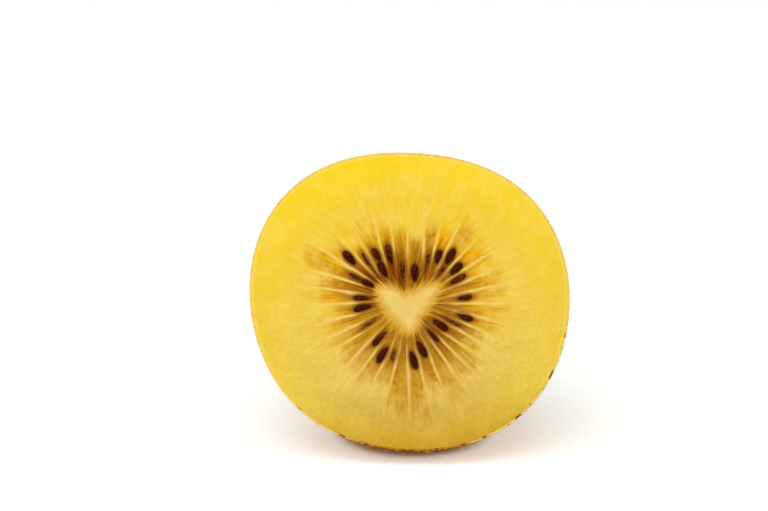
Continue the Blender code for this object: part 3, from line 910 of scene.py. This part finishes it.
def buildFuzz():
    # One hair is a thin cone with a waist for its bend, arrayed and then combed out over the skin.
    bpy.ops.object.select_all(action='DESELECT')
    bpy.ops.mesh.primitive_cone_add(vertices=3, radius1=1, radius2=0, depth=1, location=(0, 0, 0.5))
    bpy.ops.object.transform_apply(location=True)
    piece = startPiece("skinFuzz")
    bpy.ops.object.mode_set(mode='EDIT')
    bpy.ops.mesh.select_all(action='SELECT')
    bpy.ops.mesh.bisect(plane_co=(0, 0, 0.5), plane_no=(0, 0, 1))
    bpy.ops.object.mode_set(mode='OBJECT')
    hair = np.array([vertex.co for vertex in piece.data.vertices])

    # roots all over the side, more where it is wider, and the first ones along the bottom of the cut
    chance = np.random.default_rng(12)
    rimCount = fuzz["rimCount"]
    total = fuzz["count"] + rimCount
    spare = total * 2
    lowest = math.radians(270)
    steps = np.linspace(0.03, math.pi / 2, 400)
    sideLine = sidePoints(0.0, steps, 0.0)
    weights = np.linalg.norm(np.gradient(sideLine, axis=0), axis=1) * np.hypot(sideLine[:, 0], sideLine[:, 2])
    turns = np.interp(chance.uniform(0, 1, spare), np.cumsum(weights) / weights.sum(), steps)
    angles = chance.uniform(0, math.tau, spare)
    angles[:rimCount] = lowest + chance.triangular(-fuzz["rimSpread"], 0, fuzz["rimSpread"], rimCount)
    turns[:rimCount] = chance.uniform(0.004, 0.03, rimCount)
    lengths = chance.uniform(*fuzz["length"], spare)
    lengths[:rimCount] = chance.uniform(*fuzz["rimLength"], rimCount)
    leans = chance.normal(0, fuzz["lean"], (spare, 3))
    bends = chance.normal(0, fuzz["bend"], (spare, 3))
    roots = skinOuter(angles, turns)
    alongTurn = skinOuter(angles, turns + 0.01) - roots
    alongAngle = skinOuter(angles + 0.01, turns) - roots
    out = unitRows(np.cross(alongTurn, alongAngle))
    out = out * np.sign((out * roots).sum(axis=1, keepdims=True))
    atRim = np.arange(spare) < rimCount
    thickness = np.where(atRim, fuzz["rimThickness"] * chance.uniform(0.5, 1.3, spare), fuzz["thickness"])
    tips = unitRows(out + 0.5 * leans)
    roots = roots - 0.03 * out

    # only hairs that clear the floor and the scar are kept
    rootHeights = toWorld(roots)[:, 2]
    tipHeights = toWorld(roots + tips * lengths[:, None])[:, 2]
    clear = (rootHeights > 0.4 * mm) & (tipHeights > 0.15 * mm)
    clear = clear & (np.hypot(roots[:, 0], roots[:, 2]) > fuzz["scarRadius"])
    kept = np.flatnonzero(clear)[:total]

    array = piece.modifiers.new("rows", 'ARRAY')
    array.count = len(kept)
    array.use_relative_offset = False
    array.use_constant_offset = True
    array.constant_offset_displace = (3, 0, 0)
    bpy.ops.object.modifier_apply(modifier="rows")
    roots, tips, bends, lengths = roots[kept], tips[kept], bends[kept], lengths[kept, None, None]
    side = unitRows(np.cross(tips, (0.3, 0.5, 0.8)))
    other = np.cross(tips, side)
    rise = hair[None, :, 2:3]
    points = roots[:, None, :] + lengths * (rise * tips[:, None, :] + rise ** 2 * 0.5 * bends[:, None, :])
    points += thickness[kept, None, None] * (hair[None, :, 0:1] * side[:, None, :]
                                             + hair[None, :, 1:2] * other[:, None, :])
    piece.data.vertices.foreach_set("co", toWorld(points).ravel())
    piece.data.update()
    rimHair = atRim * smooth(fuzz["rimSpread"], 0.2, np.abs(angles - lowest))
    addAttribute(piece, "rimHair", np.repeat(rimHair[kept], len(hair)))
    bpy.ops.object.shade_smooth()
    finishPiece(piece, fuzzMaterial())


def fuzzMaterial():
    material, tree, shader, place = startMaterial("paleFuzz", Specular_IOR_Level=0.15, Roughness=0.6)
    patch = noiseOf(tree, place, 700, 2, 0.5)
    # hairs along the bottom of the cut take a brown that is partly painted shade
    share = times(tree, readAttribute(tree, "rimHair"), spread(tree, patch, 0.68, 0.52))
    tone = mixOf(tree, share, mixOf(tree, patch, fuzz["tone"], fuzz["darkTone"]), fuzz["rimBrownAndShade"])
    connect(tree, shader, Base_Color=tone)
    return material


buildFlesh()
print("flesh made")
buildCore()
print("core made")
buildSeeds()
print("seeds made")
buildSkin()
print("skin made")
buildScar()
buildFuzz()
print("stem scar and fuzz made")


studio = {
    "horizon": 1.0,              # strength of the world at and over the horizon
    "sky": 0.5,
    "horizonBand": (0.12, 0.4),
    "keyPower": 5.4,             # watts
    "keySize": 0.9,
    "keyPlace": (-0.12, -0.45, 0.72),
    "keyAim": (0, 0, 0.02),
    "floorSize": 8,
    "floorGlow": 0.37,
    "glowTone": (0.88, 1, 0.96, 1),
    "glowMiddle": (-0.0004, 0, 0),
    "glowFrom": (0.0098, 0.0138),    # how far from there the glow starts and is full
    "floorTone": colour(236, 236, 232),
    "shadeTone": colour(236, 212, 180),
    "distance": 0.7,
    "lens": 203.6,
    "azimuth": 2.0,
    "elevation": 17.0,
    "aimRight": -0.0041,         # from the face's centre to the middle of the picture
    "aimUp": 0.00716,
}


def buildFloor():
    bpy.ops.object.select_all(action='DESELECT')
    bpy.ops.mesh.primitive_plane_add(size=studio["floorSize"], location=(0, 0, 0))
    floor = startPiece("floor")
    material, tree, shader, place = startMaterial(
        "paleFloor", Specular_IOR_Level=0.1, Roughness=0.7, Emission_Color=studio["glowTone"])
    # the floor glows as painted light, except under the fruit: there the glow fades out and the floor turns
    # warmer, a painted shadow, deeper and warmer than the lamps alone give
    away = addNode(tree, 'ShaderNodeVectorMath', {"operation": 'DISTANCE'}, i0=place, i1=studio["glowMiddle"])
    share = spread(tree, away.outputs["Value"], *studio["glowFrom"])
    glow = spread(tree, away.outputs["Value"], *studio["glowFrom"], 0.0, studio["floorGlow"])
    connect(tree, shader, Base_Color=mixOf(tree, share, studio["shadeTone"], studio["floorTone"]),
            Emission_Strength=glow)
    floor.data.materials.append(material)


def buildLights():
    world = bpy.data.worlds.new("softWorld")
    bpy.context.scene.world = world
    world.use_nodes = True
    tree = world.node_tree
    direction = addNode(tree, 'ShaderNodeTexCoord').outputs["Generated"]
    rise = addNode(tree, 'ShaderNodeSeparateXYZ', None, Vector=direction).outputs["Z"]
    background = tree.nodes["Background"]
    background.inputs["Color"].default_value = (1, 1, 1, 1)
    strength = spread(tree, rise, *studio["horizonBand"], studio["horizon"], studio["sky"])
    connect(tree, background, Strength=strength)

    bpy.ops.object.light_add(type='AREA', location=studio["keyPlace"])
    key = bpy.context.object
    key.name = "keyLight"
    key.data.size = studio["keySize"]
    key.data.energy = studio["keyPower"]
    key.rotation_euler = (Vector(studio["keyAim"]) - key.location).to_track_quat('-Z', 'Y').to_euler()


def buildCamera():
    azimuth, elevation = math.radians(studio["azimuth"]), math.radians(studio["elevation"])
    back = Vector((math.sin(azimuth) * math.cos(elevation), -math.cos(azimuth) * math.cos(elevation),
                   math.sin(elevation)))
    turn = (-back).to_track_quat('-Z', 'Y')
    right, up = turn @ Vector((1, 0, 0)), turn @ Vector((0, 1, 0))
    centre = placement.translation + right * studio["aimRight"] + up * studio["aimUp"]
    bpy.ops.object.camera_add(location=centre + back * studio["distance"])
    camera = bpy.context.object
    camera.rotation_euler = turn.to_euler()
    camera.data.lens = studio["lens"]
    camera.data.clip_start = 0.01
    bpy.context.scene.camera = camera
    bpy.context.scene.view_settings.view_transform = 'Standard'


buildFloor()
buildLights()
buildCamera()
print("studio made")
